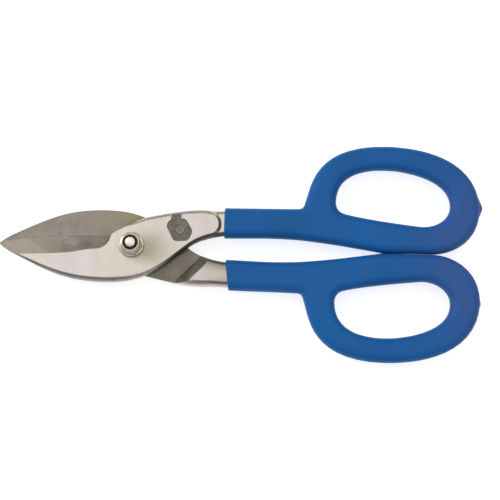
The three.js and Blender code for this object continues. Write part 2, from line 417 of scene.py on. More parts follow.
def grind_line(x):
    """The y where the ground bevel leaves the outer face."""
    heel, middle = WHEEL_CENTRE
    wheel = middle - np.sqrt(np.maximum(0, WHEEL_RADIUS**2 - (np.clip(x, heel, WHEEL_END) - heel) ** 2))
    return np.where(x < heel, level(GRIND_LINE, x), wheel)


def past_plate(x, y):
    """How far a point lies past the plate's end, which is round."""
    centre_x, centre_y = PLATE_END_CENTRE
    return np.hypot(np.maximum(x - centre_x, 0), y - centre_y) - PLATE_END_RADIUS


def outer_height(x, y, sizes):
    """Height of the outer face: the plate, the ground bevel, and the step down to the shank."""
    top = plate_top(x, sizes)
    edge = level(FRONT, x)
    line = grind_line(x)
    land = sizes.edge_land / MM * (0.5 + 0.5 * ease(x, TIP, THINS_FROM))
    heel, middle = WHEEL_CENTRE
    heel_width = 9.2
    width = np.where(x > heel, heel_width, np.maximum(edge - line, 0.05))
    share = np.clip((edge - y) / width, 0, 1)
    grinding = 0.16
    bevel = land + (top - land) * share - grinding * np.sin(np.pi * share) * ease(top, 3, 5)
    inside = WHEEL_RADIUS - np.hypot(x - heel, y - middle)
    wheel_wall = 2.4
    scoop = np.clip(1 - inside / wheel_wall, 0, 1) ** 2 * ease(x, heel, heel + 5)
    bevel = bevel + (top - bevel) * scoop
    ground = (x <= WHEEL_END) & (y >= line)
    height = np.where(ground, bevel, top)
    step = (top - sizes.core / MM / 2) * ease(past_plate(x, y), 0, STEP_WIDTH) * ease(x, *STEP_FADE)
    return height - step


def inner_height(x, y, sizes):
    """Height of the face that rides on the other half, and of the shank's inner side before its flat."""
    gap = sizes.ride_gap / MM
    back = level(BACK, x)
    edge = level(FRONT, x)
    across = np.clip((y - back) / (edge - back), 0, 1)
    hollow_depth, crown_height = 0.2, 1.3
    hollow = hollow_depth * np.sin(np.pi * across) * ease(-x, 14, 30) * ease(x, TIP, TIP + 14)
    crown = crown_height * (2 * across - 1) ** 2 * ease(x, *SHANK_CROWN)
    return gap + hollow + crown - (gap + sizes.core / MM / 2) * ease(x, *INNER_DROP)


def upright(y, start, end):
    """Three points up or down a straight side."""
    return [(y, start + (end - start) * share) for share in (0.25, 0.5, 0.75)]


def forging_ring(x, sizes):
    """The closed section of the forging at one station, as (y, z) pairs that turn from +Y to +Z."""
    low = float(level(BACK, x))
    high = float(level(FRONT, x))
    width = high - low
    thick = plate_top(x, sizes) - sizes.ride_gap / MM
    edge_round = sizes.edge_round / MM
    dropped = ease(x, *INNER_DROP)

    # Each edge's rounding grows onto the shank, and keeps to a share of the section.
    back_round = min(edge_round * (1 + 0.5 * ease(x, 50, 57)), 0.42 * thick, 0.42 * width)
    front_round = 0.1 + (edge_round * 1.35 - 0.1) * ease(x, -12, 7)
    front_round = min(front_round, 0.3 * width)
    under_back = min(0.3 + 2.3 * dropped, 0.2 * width)
    under_front = min(0.12 + 0.2 * ease(x, WHEEL_END, 5) + 3.2 * dropped, 0.2 * width)

    # The outer face's points part at the grind line, and past the bevel at the middle of the face.
    quarter = np.radians(np.linspace(0, 75, 6))
    middle = low + back_round + 0.5 * (high - front_round - low - back_round)
    line = float(grind_line(x)) if x < WHEEL_END else high
    line = line + (middle - line) * float(ease(x, WHEEL_END, WHEEL_END + 12))
    line = min(max(line, low + back_round + 0.02), high - front_round - 0.02)

    def outer(y, drop=0.0):
        return outer_height(np.full_like(y, x), y, sizes) - drop

    def inner(y, lift=0.0):
        return inner_height(np.full_like(y, x), y, sizes) + lift

    ring = []
    y = low + under_back * (1 - np.cos(quarter))
    ring += list(zip(y, inner(y, under_back * (1 - np.sin(quarter)))))
    y = np.linspace(low + under_back, high - under_front, 40)
    ring += list(zip(y, inner(y)))
    y = (high - under_front * (1 - np.cos(quarter)))[::-1]
    ring += list(zip(y, inner(y, under_front * (1 - np.sin(quarter[::-1])))))
    y = high - front_round * (1 - np.cos(quarter))
    over = list(zip(y, outer(y, front_round * (1 - np.sin(quarter)))))
    ring += upright(high, ring[-1][1], over[0][1]) + over
    y = np.linspace(high - front_round, line, 26)
    ring += list(zip(y, outer(y)))
    y = np.linspace(line, low + back_round, 27)[1:]
    ring += list(zip(y, outer(y)))
    y = (low + back_round * (1 - np.cos(quarter)))[::-1]
    ring += list(zip(y, outer(y, back_round * (1 - np.sin(quarter[::-1])))))
    return ring + upright(low, ring[-1][1], ring[0][1])


def shape_forging(name, sizes):
    """A cylinder cut into stations along its length, with each ring moved to the forging's section there."""
    stretches = ((TIP, -80, 16), (-80, 46, 219), (46, 59, 52), (59, JOIN, 11))
    stations = np.concatenate([*(np.linspace(*stretch, endpoint=False) for stretch in stretches), [JOIN]])
    rings = [forging_ring(float(x), sizes) for x in stations]
    count = len(rings[0])
    deselect()
    bpy.ops.mesh.primitive_cylinder_add(vertices=count, radius=1, depth=2, end_fill_type="NGON")
    piece = named(name)
    edit(piece)
    select_edges(piece, lambda a, b: abs(a.z - b.z) > 1)
    bpy.ops.mesh.subdivide(number_cuts=len(stations) - 2)
    mesh = bmesh.from_edit_mesh(piece.data)
    for vertex in mesh.verts:
        turn_share = math.atan2(vertex.co.y, vertex.co.x) / math.tau
        i = round(turn_share * count) % count
        k = round((vertex.co.z + 1) / 2 * (len(stations) - 1))
        y, z = rings[k][i]
        vertex.co = at(stations[k], y, z)
    bmesh.update_edit_mesh(piece.data)
    face_outwards()
    return piece


def wedge(name, sizes):
    """A block whose faces are the inner flat and its ramp, for cutting them into the shank."""
    angle = math.radians(RAMP_TURN)
    gap, floor = sizes.ride_gap / MM + 0.03, -sizes.core / MM / 2
    slope = (floor - gap) / (sizes.ramp_run / MM)
    run_on, half_width = 10, 50
    deep = gap + run_on * slope
    section = [(FLAT_START, gap), (RAMP_START, gap), (RAMP_START + run_on, deep), (FLAT_START, deep)]
    forward = Vector((math.cos(angle), math.sin(angle), 0))
    across = Vector((-math.sin(angle), math.cos(angle), 0))
    corners = [(*(forward * run - across * half_width).xy, z) for run, z in section]
    piece = prism(name, corners, across * 2 * half_width * MM)
    face_outwards()
    return piece


def slab(name, splines, half, rounding, steps=4):
    """A flat outline with holes, drawn as curves and thickened both ways, with round edges."""
    deselect()
    bpy.ops.curve.primitive_bezier_curve_add(location=PIVOT)
    piece = named(name)
    curve = piece.data
    curve.dimensions = "2D"
    curve.fill_mode = "BOTH"
    curve.resolution_u = 14
    curve.extrude = (half - rounding) * MM
    curve.bevel_depth = rounding * MM
    curve.bevel_resolution = steps
    curve.offset = -rounding * MM
    curve.splines.clear()
    for knots in splines:
        spline = curve.splines.new("BEZIER")
        spline.use_cyclic_u = True
        spline.bezier_points.add(len(knots) - 1)
        for point, (left, knot, right) in zip(spline.bezier_points, knots):
            point.handle_left_type = "FREE"
            point.handle_right_type = "FREE"
            point.handle_left = Vector((*left, 0)) * MM
            point.co = Vector((*knot, 0)) * MM
            point.handle_right = Vector((*right, 0)) * MM
    pick(piece)
    bpy.ops.object.convert(target="MESH")
    settle(piece)
    finish_mesh(piece)
    return piece


def knots(points):
    """Closed joined curves as (handle, knot, handle), from a start and three points per curve."""
    ring = points[:-1]
    count = len(ring)
    return [(ring[(i - 1) % count], ring[i], ring[(i + 1) % count]) for i in range(0, count, 3)]


def straight(start, end):
    """The three points of a curve that runs straight from start to end."""
    (x0, y0), (x1, y1) = start, end
    return [((2 * x0 + x1) / 3, (2 * y0 + y1) / 3), ((x0 + 2 * x1) / 3, (y0 + 2 * y1) / 3), end]


def handle_outline(depth, start):
    """The shank and the loop, at a depth below the grip's skin, from x = start. The loops all but touch."""
    d = depth
    inner = 0.1 + d
    points = [(start, 6.5 + d)]
    points += straight(points[-1], (JOIN, 7.1 + d))
    points += [(101, 8.3 + d), (110, 7.7 + d), (158, inner)]
    points += straight(points[-1], (190, inner))
    points += [(199, inner), (219.2 - d, 6 + d), (220 - d, 29)]
    points += [(219 - d, 63 - d), (183, 69.4 - d), (160, 69.4 - d)]
    points += [(113.5 + d, 69.4 - d), (112.4 + d, 41.3 - d), (109 + d, 31.8)]
    points += [(108.2 + d, 28.2 - d * 0.6), (107.4 + d * 0.6, 27.1 - d), (104.5, 27 - d)]
    points += straight(points[-1], (JOIN, 26.4 - d))
    points += straight(points[-1], (start, 26.2 - d))
    points += straight(points[-1], points[0])
    return knots(points)


def finger_hole(depth):
    """The opening in the loop, widened by the depth below the grip's skin."""
    d = depth
    points = [(160, 53.9 + d)]
    points += [(175, 53.9 + d), (201.2 + d, 48 + d), (201.2 + d, 31.5)]
    points += [(201.2 + d, 23.4 - d * 0.5), (193.3 + d * 0.5, 17.4 - d), (183, 17.6 - d)]
    points += [(176, 18.3 - d), (148, 21.1 - d), (134 - d * 0.3, 24.6 - d)]
    points += [(130.5 - d * 0.8, 25.5 - d * 0.8), (128.5 - d, 28 - d * 0.4), (128.4 - d, 32)]
    points += [(128.4 - d, 50 + d * 0.5), (145 - d * 0.5, 53.9 + d), (160, 53.9 + d)]
    return knots(points)


def stamp(name, corners, low, high, draft, corner=1.2):
    """A drafted punch with these corners, for pressing a panel into a plate."""
    piece = prism(name, [(x, y, low) for x, y in corners], (0, 0, (high - low) * MM))
    middle = sum((at(x, y, high) for x, y in corners), Vector()) / len(corners)
    bpy.ops.transform.resize(value=(draft, draft, 1), center_override=middle)
    select_edges(piece, lambda a, b: abs(a.z - b.z) > 1e-5)
    bpy.ops.mesh.bevel(offset=corner * MM, segments=6, affect="EDGES")
    face_outwards()
    return piece


# The pressed panel beside the pivot, with the notch that runs out of the plate's edge.

PANEL_DEPTH = 0.6
NOTCH_DEPTH = 0.35
RELIEF_DEPTH = 0.25
RELIEF_CENTRE = (29.9, 10.6)
PANEL = [(21.5, 12.8), (26.6, 3.2), (35.4, 3.8), (38.0, 9.8), (33.2, 17.8), (23.4, 16.6)]
NOTCH = [(24.2, 15), (30.6, 15), (30.8, 27), (24.6, 27)]
LOZENGE = [(25.8, 10.6), (30.2, 6.4), (34, 10.4), (29.8, 14.8)]


# The forgings' finishes, by their places in the list of materials.

POLISHED, RIDE_FACE, SKIN, WORN_FLAT, PANEL_FINISH, BEVEL, RAMP = range(7)


def steel_slot(middle, normal, sizes):
    """Which finish a face of the front forging takes, by where it is and which way it looks."""
    p = (middle - PIVOT) / MM
    plate = sizes.plate / MM
    if p.x > 2 and p.y > float(level(FRONT, p.x)) - 3.6:
        return POLISHED
    # Near the shank's back edge the rounding takes the dark skin as painted shade.
    if 14 < p.x < 62 and p.y < float(level(BACK, p.x) + 1.8 * ease(p.x, 14, 30)) and p.z > -1:
        return SKIN
    if abs(normal.z) < 0.35:
        return SKIN
    if normal.z < 0:
        return RIDE_FACE if p.x < INNER_DROP[0] else POLISHED
    if p.x < WHEEL_END + 0.1 and p.y > float(grind_line(p.x)) + 0.02:
        return BEVEL
    before_plate_end = p.x < 44
    if normal.z < 0.9 and p.z < plate - 0.1 and before_plate_end:
        return SKIN
    return POLISHED


def polish_relief(piece, sizes):
    """Gives the panel's raised lozenge the ground finish."""
    for polygon in piece.data.polygons:
        p = (polygon.center - PIVOT) / MM
        on_relief = abs(p.z - (sizes.plate / MM - RELIEF_DEPTH)) < 0.02 and polygon.normal.z > 0.9
        if on_relief and polygon.material_index == PANEL_FINISH:
            polygon.material_index = RIDE_FACE


def paint_forging(piece, finishes, sizes):
    """Gives each face its finish."""
    wear(piece, *finishes)
    for polygon in piece.data.polygons:
        polygon.material_index = steel_slot(polygon.center, polygon.normal, sizes)


def soften_step(piece):
    """Lets the shading run smoothly over the step at the plate's end."""

    def on_step(vertex):
        p = (piece.data.vertices[vertex].co - PIVOT) / MM
        return 45 < p.x < 61 and p.z > 2.5

    for edge in piece.data.edges:
        if all(on_step(vertex) for vertex in edge.vertices):
            edge.use_edge_sharp = False


def stripe(value, middle, width):
    """1 on a line and falling away on both sides of it."""
    return math.exp(-(((value - middle) / width) ** 2))


def scale_and_shade_at(p, sizes):
    """How dark the scale and the painted shade lie at a point of the front forging, given in millimetres from
    the pivot.
    """
    low = float(level(BACK, p.x))
    high = float(level(FRONT, p.x))
    top = float(plate_top(p.x, sizes))
    dark = 0.0
    if p.z > top * 0.5:
        # The outer face has a painted shade line along each edge, and one at the foot of the step.
        rounding = min(1.75, 0.32 * top)
        dark = stripe(p.y, low + rounding, 0.45) * float(ease(-p.x, -10, 10) * ease(p.x, -76, -60))
        fade = float(ease(p.x, 5, 15) * (1 - 0.7 * ease(p.x, 36, 48)))
        dark = max(dark, 0.35 * stripe(p.y, high - 2.4, 0.5) * fade)
        if 44 < p.x < 62:
            foot = float(past_plate(p.x, p.y)) - 0.9
            dark = max(dark, 0.5 * stripe(foot, 0, 0.4) * float(ease(p.y, 9, 12) * ease(p.x, 47, 51)))
    elif p.z < -2 and p.x > 34:
        # The shank's inner side is dulled all over, with painted shade darkest by its two edges.
        dark = 0.16 + 0.6 * stripe(p.y, low, 5.5)
        dark = max(dark, 0.95 * stripe(p.y, high - 2.45, 0.5) * float(ease(p.x, 36, 42)))
    if 0 < p.x < 62 and p.y < low + (2.1 if p.z > -1 else 1.2):
        # The back edge itself is painted dark with shade from beside the pivot to the grip.
        dark = max(dark, float(0.8 * ease(p.x, 12, 30) - 0.1 * ease(p.x, 36, 50)))
    return dark


def paint_scale_and_shade(piece, sizes):
    """Paints how dark the scale and the painted shade lie at each point."""
    # The scale attribute holds painted shade as well as the scale's darkness.
    layer = piece.data.color_attributes.new(name="scale", type="FLOAT_COLOR", domain="POINT")
    for vertex, value in zip(piece.data.vertices, layer.data):
        dark = scale_and_shade_at((vertex.co - PIVOT) / MM, sizes)
        value.color = (dark, dark, dark, 1)


def turned_over(piece, name):
    """A copy of a front piece turned over about the long axis through the pivot, as the rear half's."""
    pick(piece)
    bpy.ops.object.duplicate()
    copy = named(name)
    bpy.ops.transform.rotate(value=math.pi, orient_axis="X", center_override=PIVOT)
    settle(copy)
    return copy


class SNIPS_OT_forgings(bpy.types.Operator):
    """Models the two crossed forgings, each with its jaw, flat, shank and the loop in its grip"""

    bl_idname = "snips.forgings"
    bl_label = "Forgings"

    def execute(self, context):
        sizes = context.scene.snips_sizes
        colours = context.scene.snips_colours
        finishes = [
            polished_steel(colours),
            ground_steel(colours, "Ride face", 1.0),
            forging_skin(colours),
            worn_flat(colours, "Worn flat", 1.0),
            pressed_panel(colours),
            ground_steel(colours, "Ground bevel", 1.3),
            # The ramp's copy is half as light again as the flat's: painted light on the sloping face.
            worn_flat(colours, "Ramp", 1.5),
        ]
        front = shape_forging("front_forging", sizes)
        paint_forging(front, finishes, sizes)

        depth = sizes.vinyl / MM + 0.3
        outlines = [handle_outline(depth, CORE_START), finger_hole(depth)]
        core = slab("core", outlines, sizes.core / MM / 2 - 0.05, 2.2)
        wear(core, finishes[POLISHED])
        combine(front, "UNION", core)

        cutter = wedge("flat_and_ramp", sizes)
        wear(cutter, finishes[WORN_FLAT], finishes[RAMP])
        # Sloping faces of the cutter take the lighter ramp copy, painted light by which way they face.
        for polygon in cutter.data.polygons:
            polygon.material_index = 1 if 0.05 < abs(polygon.normal.z) < 0.95 else 0
        combine(front, "DIFFERENCE", cutter)

        plate = sizes.plate / MM
        panel = stamp("panel", PANEL, plate - PANEL_DEPTH, plate + 2, 1.12, corner=1.9)
        relief = stamp("relief", LOZENGE, plate - 1, plate - RELIEF_DEPTH, 0.8)
        middle_x, middle_y = RELIEF_CENTRE
        inside = [(middle_x + (x - middle_x) * 0.55, middle_y + (y - middle_y) * 0.55) for x, y in LOZENGE]
        combine(relief, "DIFFERENCE", stamp("hollow", inside, plate - 2, plate + 1, 1))
        combine(panel, "DIFFERENCE", relief)
        notch = stamp("notch", NOTCH, plate - NOTCH_DEPTH, plate + 2, 1.25)
        for tool in (panel, notch):
            wear(tool, finishes[PANEL_FINISH])
            combine(front, "DIFFERENCE", tool)
        bore = drum("bore", sizes.bolt / MM + BORE_PLAY, -20, 20)
        wear(bore, finishes[WORN_FLAT])
        combine(front, "DIFFERENCE", bore)
        finish_mesh(front, 32)
        polish_relief(front, sizes)
        soften_step(front)
        paint_scale_and_shade(front, sizes)

        rear = turned_over(front, "rear_forging")
        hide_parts("front_blade")
        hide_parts("rear_blade")
        for piece, body in ((front, "front_half"), (rear, "rear_half")):
            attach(piece, body)
        return {"FINISHED"}


# The grips


def shape_grip(name, sizes, mouth, slant, drip, finish):
    """A dipped loop: a rounded slab with its drip, remeshed smooth, cut at the mouth and hollowed.

    The drip is a blunt point on the loop's end that reaches the given x.
    """
    half = sizes.grip / MM / 2
    grip = slab(name, [handle_outline(0, 46), finger_hole(0)], half, half - 0.7, steps=6)

    # The drip is a blunt cone, flattened to less than the grip's thickness.
    drip_depth, drip_y = 5, 30.5
    deselect()
    bpy.ops.mesh.primitive_cone_add(
        vertices=32,
        radius1=12 * MM,
        radius2=MM,
        depth=drip_depth * MM,
        location=at(drip - drip_depth / 2, drip_y, 0),
        rotation=(0, math.pi / 2, 0),
    )
    bpy.context.object.scale.x = 0.4
    settle(bpy.context.object)
    grip.select_set(True)
    bpy.context.view_layer.objects.active = grip
    bpy.ops.object.join()
    modify(grip, "REMESH", mode="VOXEL", voxel_size=0.75 * MM)
    modify(grip, "SMOOTH", factor=0.5, iterations=4)

    ripple = bpy.data.textures.new("Dip ripple", "CLOUDS")
    ripple.noise_scale = 0.03
    modify(grip, "DISPLACE", texture=ripple, strength=0.35 * MM, mid_level=0.5, texture_coords="OBJECT")

    # The mouth is cut flat, and its rim is rounded in six steps.
    edit(grip)
    bpy.ops.mesh.select_all(action="SELECT")
    outwards = Vector((-math.cos(slant), -math.sin(slant), 0))
    rim, mouth_y = 1.2, 16.6
    cut = at(mouth, mouth_y, 0) - outwards * rim * MM
    bpy.ops.mesh.bisect(plane_co=cut, plane_no=outwards, use_fill=True, clear_outer=True)
    limit = at(mouth + 5, 0, 0).x
    select_faces(grip, lambda middle, normal: normal.dot(outwards) > 0.999 and middle.x < limit)
    angles = [math.radians(15 * step) for step in range(7)]
    for a, b in zip(angles, angles[1:]):
        inwards = rim * MM * (math.cos(a) - math.cos(b))
        bpy.ops.mesh.inset(thickness=inwards, depth=rim * MM * (math.sin(b) - math.sin(a)))
    bpy.ops.object.mode_set(mode="OBJECT")
    vinyl = sizes.vinyl / MM
    hollow = slab("hollow", [handle_outline(vinyl, 40), finger_hole(vinyl)], half - vinyl, 2.2)
    combine(grip, "DIFFERENCE", hollow)

    finish_mesh(grip, 50)
    wear(grip, finish)
    return grip


class SNIPS_OT_grips(bpy.types.Operator):
    """Models the two dipped vinyl grips with their finger loops"""

    bl_idname = "snips.grips"
    bl_label = "Grips"

    def execute(self, context):
        sizes = context.scene.snips_sizes
        finish = dipped_vinyl(context.scene.snips_colours)
        front = shape_grip("front_dipped_grip", sizes, sizes.front_mouth / MM, 0.0, 222.0, finish)
        lower = shape_grip("lower", sizes, sizes.rear_mouth / MM, math.radians(-7), 220.7, finish)
        rear = turned_over(lower, "rear_dipped_grip")
        bpy.data.objects.remove(lower)
        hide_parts("front_grip")
        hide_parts("rear_grip")
        for piece, body in ((front, "front_half"), (rear, "rear_half")):
            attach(piece, body)
        return {"FINISHED"}


# The pivot's hardware


class SNIPS_OT_washers(bpy.types.Operator):
    """Models the flat washers under the nut and under the bolt's head"""

    bl_idname = "snips.washers"
    bl_label = "Washers"

    def execute(self, context):
        low = (WASHER[0].z - PIVOT.z) / MM
        high = (WASHER[1].z - PIVOT.z) / MM
        outer = (WASHER[1].x - WASHER[0].x) / MM / 2
        inner = 4.3
        front = turn(
            "front_flat_washer",
            [
                (inner, low), (outer - 0.35, low), (outer - 0.08, low + 0.12), (outer, low + 0.4),
                (outer, high - 0.5), (outer - 0.12, high - 0.2), (outer - 0.45, high), (inner + 0.3, high),
                (inner, high - 0.25),
            ],
        )
        close_ring()
        finish_mesh(front, 40)
        wear(front, zinc_plate(context.scene.snips_colours, "Yellow zinc", (0.76, 0.73, 0.58)))
        rear = turned_over(front, "rear_flat_washer")
        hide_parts("front_washer")
        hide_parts("rear_washer")
        for piece in (front, rear):
            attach(piece, "rear_half")
        return {"FINISHED"}


class SNIPS_OT_nut(bpy.types.Operator):
    """Models the lock nut and its nylon ring"""

    bl_idname = "snips.nut"
    bl_label = "Lock nut"

    def execute(self, context):
        sizes = context.scene.snips_sizes
        colours = context.scene.snips_colours
        across = sizes.hex_across / MM
        low = (NUT[0].z - PIVOT.z) / MM
        top = (NUT[1].z - PIVOT.z) / MM
        corner = across / math.sqrt(3)
        blank = turn(
            "blank",
            [
                (across / 2 - 0.3, low), (corner + 0.05, low + 0.75), (corner + 0.05, low + 5.1),
                (across / 2 - 0.15, low + 6.15), (5.95, low + 6.3), (5.9, top - 0.9), (5.75, top - 0.4),
                (5.4, top - 0.08), (5.1, top),
            ],
        )
        close_ends()
        nut = hexagon("hex_lock_nut", across, low, top + 1)
        combine(nut, "INTERSECT", blank)
        thread = sizes.bolt / MM + 0.12
        bore = turn("bore", [(thread, low - 1), (thread, top - 2), (4.95, top - 2), (4.9, top + 1)])
        close_ends()
        combine(nut, "DIFFERENCE", bore)
        modify(nut, "BEVEL", width=0.16 * MM, segments=2, limit_method="ANGLE", angle_limit=math.radians(28))
        finish_mesh(nut, 40)
        wear(nut, zinc_plate(colours, "Bright zinc", (1.0, 0.96, 0.9)))
        nylon = turn(
            "nylon_locking_ring",
            [
                (4.08, top - 1.8), (4.8, top - 1.8), (4.82, top - 0.35), (4.6, top - 0.12), (4.35, top - 0.1),
                (4.08, top - 0.3),
            ],
        )
        close_ring()
        finish_mesh(nylon, 50)
        wear(nylon, dark_nylon(colours))
        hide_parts("lock_nut")
        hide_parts("lock_nut_insert")
        for piece in (nut, nylon):
            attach(piece, "rear_half")
        return {"FINISHED"}


class SNIPS_OT_bolt(bpy.types.Operator):
    """Models the pivot bolt with its hex head, flattened neck, threads and chamfered end"""

    bl_idname = "snips.bolt"
    bl_label = "Pivot bolt"

    def execute(self, context):
        sizes = context.scene.snips_sizes
        colours = context.scene.snips_colours
        across = sizes.hex_across / MM
        corner = across / math.sqrt(3)
        radius = sizes.bolt / MM
        end = (BOLT[1].z - PIVOT.z) / MM
        bottom = (BOLT[0].z - PIVOT.z) / MM
        seat = bottom + HEAD_HEIGHT
        thread_start, pitch = 6, 1.1
        profile = [(radius, seat - 1), (radius, thread_start)]
        height = thread_start + 0.4
        while height < end - 1.3:
            profile += [(radius - 0.42, height), (radius - 0.02, height + pitch / 2)]
            height += pitch
        profile += [(radius - 0.35, end - 0.75), (radius - 0.85, end - 0.12), (radius - 1.05, end)]
        bolt = turn("hex_pivot_bolt", profile)
        close_ends()
        blank = turn(
            "blank",
            [
                (across / 2 - 0.35, bottom), (corner + 0.05, bottom + 1.0), (corner + 0.05, seat - 0.35),
                (corner - 0.3, seat - 0.05), (across / 2 - 0.2, seat),
            ],
        )
        close_ends()
        head = hexagon("head", across, bottom - 1, seat)
        combine(head, "INTERSECT", blank)
        modify(head, "BEVEL", width=0.2 * MM, segments=2, limit_method="ANGLE", angle_limit=math.radians(28))
        combine(bolt, "UNION", head)
        for side in (-1, 1):
            deselect()
            bpy.ops.mesh.primitive_cube_add(size=1, location=at(0, side * (NECK_HALF + 5), (seat - 0.1) / 2))
            flat = bpy.context.object
            flat.scale = (20 * MM, 10 * MM, (-seat - 0.1) * MM)
            settle(flat)
            combine(bolt, "DIFFERENCE", flat)
        finish_mesh(bolt, 40)
        wear(bolt, zinc_plate(colours, "Bolt zinc", (1.0, 0.97, 0.91)), thread_dark())
        # The threads and the chamfered end take a dark finish as painted shade in their grooves.
        for polygon in bolt.data.polygons:
            p = (polygon.center - PIVOT) / MM
            if thread_start < p.z < end - 0.05:
                polygon.material_index = 1
        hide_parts("pivot_bolt")
        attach(bolt, "rear_half")
        return {"FINISHED"}


# Finishes


class Finish:
    """A material's node tree, with short calls for the nodes that these finishes share."""

    def __init__(self, name):
        self.material = bpy.data.materials.new(name)
        self.material.use_nodes = True
        self.nodes = self.material.node_tree.nodes
        self.links = self.material.node_tree.links
        self.coordinates = self.node("TexCoord").outputs["Object"]

    def fill(self, socket, value):
        """Links the socket to another one, or sets it to a plain value."""
        if isinstance(value, bpy.types.NodeSocket):
            self.links.new(value, socket)
        elif socket.type == "RGBA":
            socket.default_value = (*value, 1)
        else:
            socket.default_value = value

    def fill_all(self, node, inputs):
        """Fills a node's inputs, named with underscores for spaces."""
        for name, value in inputs.items():
            self.fill(node.inputs[name.replace("_", " ")], value)

    def node(self, kind, **inputs):
        """A new node with these inputs."""
        node = self.nodes.new("ShaderNode" + kind)
        self.fill_all(node, inputs)
        return node

    def put(self, **inputs):
        """Fills the shader's inputs, which finishes the material."""
        self.fill_all(self.nodes["Principled BSDF"], inputs)
        return self.material

    def noise(self, scale, detail, roughness, stretch=(1, 1, 1), place=(0, 0, 0)):
        """Noise over the object's coordinates, which can be stretched and moved to a place in metres."""
        mapping = self.node("Mapping", Vector=self.coordinates, Location=place, Scale=stretch)
        vector = mapping.outputs["Vector"]
        node = self.node("TexNoise", Vector=vector, Scale=scale, Detail=detail, Roughness=roughness)
        return node.outputs["Fac"]

    def ramp(self, value, *stops):
        """Colours or greys along a value, from (position, colour) stops."""
        node = self.node("ValToRGB", Fac=value)
        elements = node.color_ramp.elements
        while len(elements) < len(stops):
            elements.new(0.5)
        for element, (position, colour) in zip(elements, stops):
            element.position = position
            element.color = (*colour, 1) if hasattr(colour, "__len__") else (colour, colour, colour, 1)
        return node.outputs["Color"]

    def shades(self, value, colour, *stops):
        """One colour made darker or lighter along a value, from (position, share) stops."""
        return self.ramp(value, *((position, shade(colour, share)) for position, share in stops))

    def mix(self, share, first, second):
        """Mixes two colours, each a socket or plain values."""
        node = self.node("Mix")
        node.data_type = "RGBA"
        for key, value in (("Factor", share), ("A", first), ("B", second)):
            self.fill(next(socket for socket in node.inputs if socket.name == key and socket.enabled), value)
        return next(socket for socket in node.outputs if socket.enabled)

    def times(self, first, second, clamp=False):
        """The product of two numbers, each a socket or a plain value."""
        node = self.node("Math")
        node.operation = "MULTIPLY"
        node.use_clamp = clamp
        for socket, value in zip(node.inputs, (first, second)):
            self.fill(socket, value)
        return node.outputs["Value"]

    def bump(self, height, strength, distance, under=None):
        """A normal raised by a height, over another bump's normal where one is given."""
        node = self.node("Bump", Height=height, Strength=strength, Distance=distance)
        if under is not None:
            self.fill(node.inputs["Normal"], under)
        return node.outputs["Normal"]

    def spot(self, gain, x, y, wide, high, turn=0.0):
        """1 inside a soft oval on the face, falling to 0 at its rim. Millimetres from the pivot."""
        place = at(x, y, 0)
        place.z = 0
        mapping = self.node("Mapping", Vector=self.coordinates, Location=place, Rotation=(0, 0, turn))
        mapping.vector_type = "TEXTURE"
        self.fill(mapping.inputs["Scale"], (wide * MM, high * MM, 1))
        gradient = self.node("TexGradient", Vector=mapping.outputs["Vector"])
        gradient.gradient_type = "QUADRATIC_SPHERE"
        return self.times(gradient.outputs["Fac"], gain, clamp=True)

    def tint_spot(self, base, share, colour, *oval):
        """Turns the base towards a colour inside a soft oval, up to a share."""
        return self.mix(self.times(self.spot(*oval), share), base, colour)

    def darken_scale_and_shade(self, base, colour):
        """Turns the base towards a colour where the piece's own attribute paints scale and shade."""
        layer = self.node("Attribute")
        layer.attribute_name = "scale"
        return self.mix(layer.outputs["Fac"], base, colour)


def tinted(colour, tint):
    """A colour shifted by a tint."""
    return tuple(min(1, c * t) for c, t in zip(colour, tint))


def shade(colour, share):
    """A colour made lighter or darker."""
    return tuple(min(1, c * share) for c in colour)


def polished_steel(colours):
    """Belt-polished faces: bright, warm, with fine lines across the tool, cloudy patches and painted shade.
    """
    f = Finish("Polished steel")
    clouds = f.noise(38, 3, 0.5)
    lines = f.noise(2600, 3, 0.6, stretch=(1, 0.04, 1))
    bands = f.noise(160, 2, 0.5, stretch=(1, 0.12, 1))
    tints = f.noise(55, 2, 0.5, place=(0.3, 0.2, 0))
    steel = tuple(colours.steel)
    base = f.shades(clouds, steel, (0.36, 0.92), (0.5, 1), (0.64, 1.08))
    base = f.mix(f.ramp(tints, (0.42, 0.6), (0.5, 0.0)), base, tinted(steel, (1.0, 0.97, 0.84)))
    base = f.mix(f.ramp(tints, (0.5, 0.0), (0.58, 0.6)), base, tinted(steel, (1.04, 0.96, 1.05)))
    base = f.mix(f.times(bands, 0.25), base, shade(steel, 0.82))

    # A yellowish tint about the pivot, and the nut's painted shadow beside it: a grey haze with a darker core
    # inside it.
    base = f.tint_spot(base, 0.8, tinted(steel, (0.97, 0.96, 0.82)), 1.5, -1, 1, 22, 17)
    base = f.tint_spot(base, 0.75, tinted(steel, (0.72, 0.7, 0.64)), 2.2, 14, -2, 22, 20)
    base = f.tint_spot(base, 0.85, tinted(steel, (0.56, 0.54, 0.43)), 2, 9, -2, 13, 14)
    # The scale attribute paints shade on the polished faces along the edges and at the foot of the step.
    return f.put(
        Base_Color=f.darken_scale_and_shade(base, shade(tuple(colours.scale), 0.5)),
        Metallic=0.92,
        Roughness=f.ramp(bands, (0.3, 0.24), (0.7, 0.36)),
        Normal=f.bump(clouds, 0.1, 0.0006, f.bump(lines, 0.12, 0.00004)),
    )


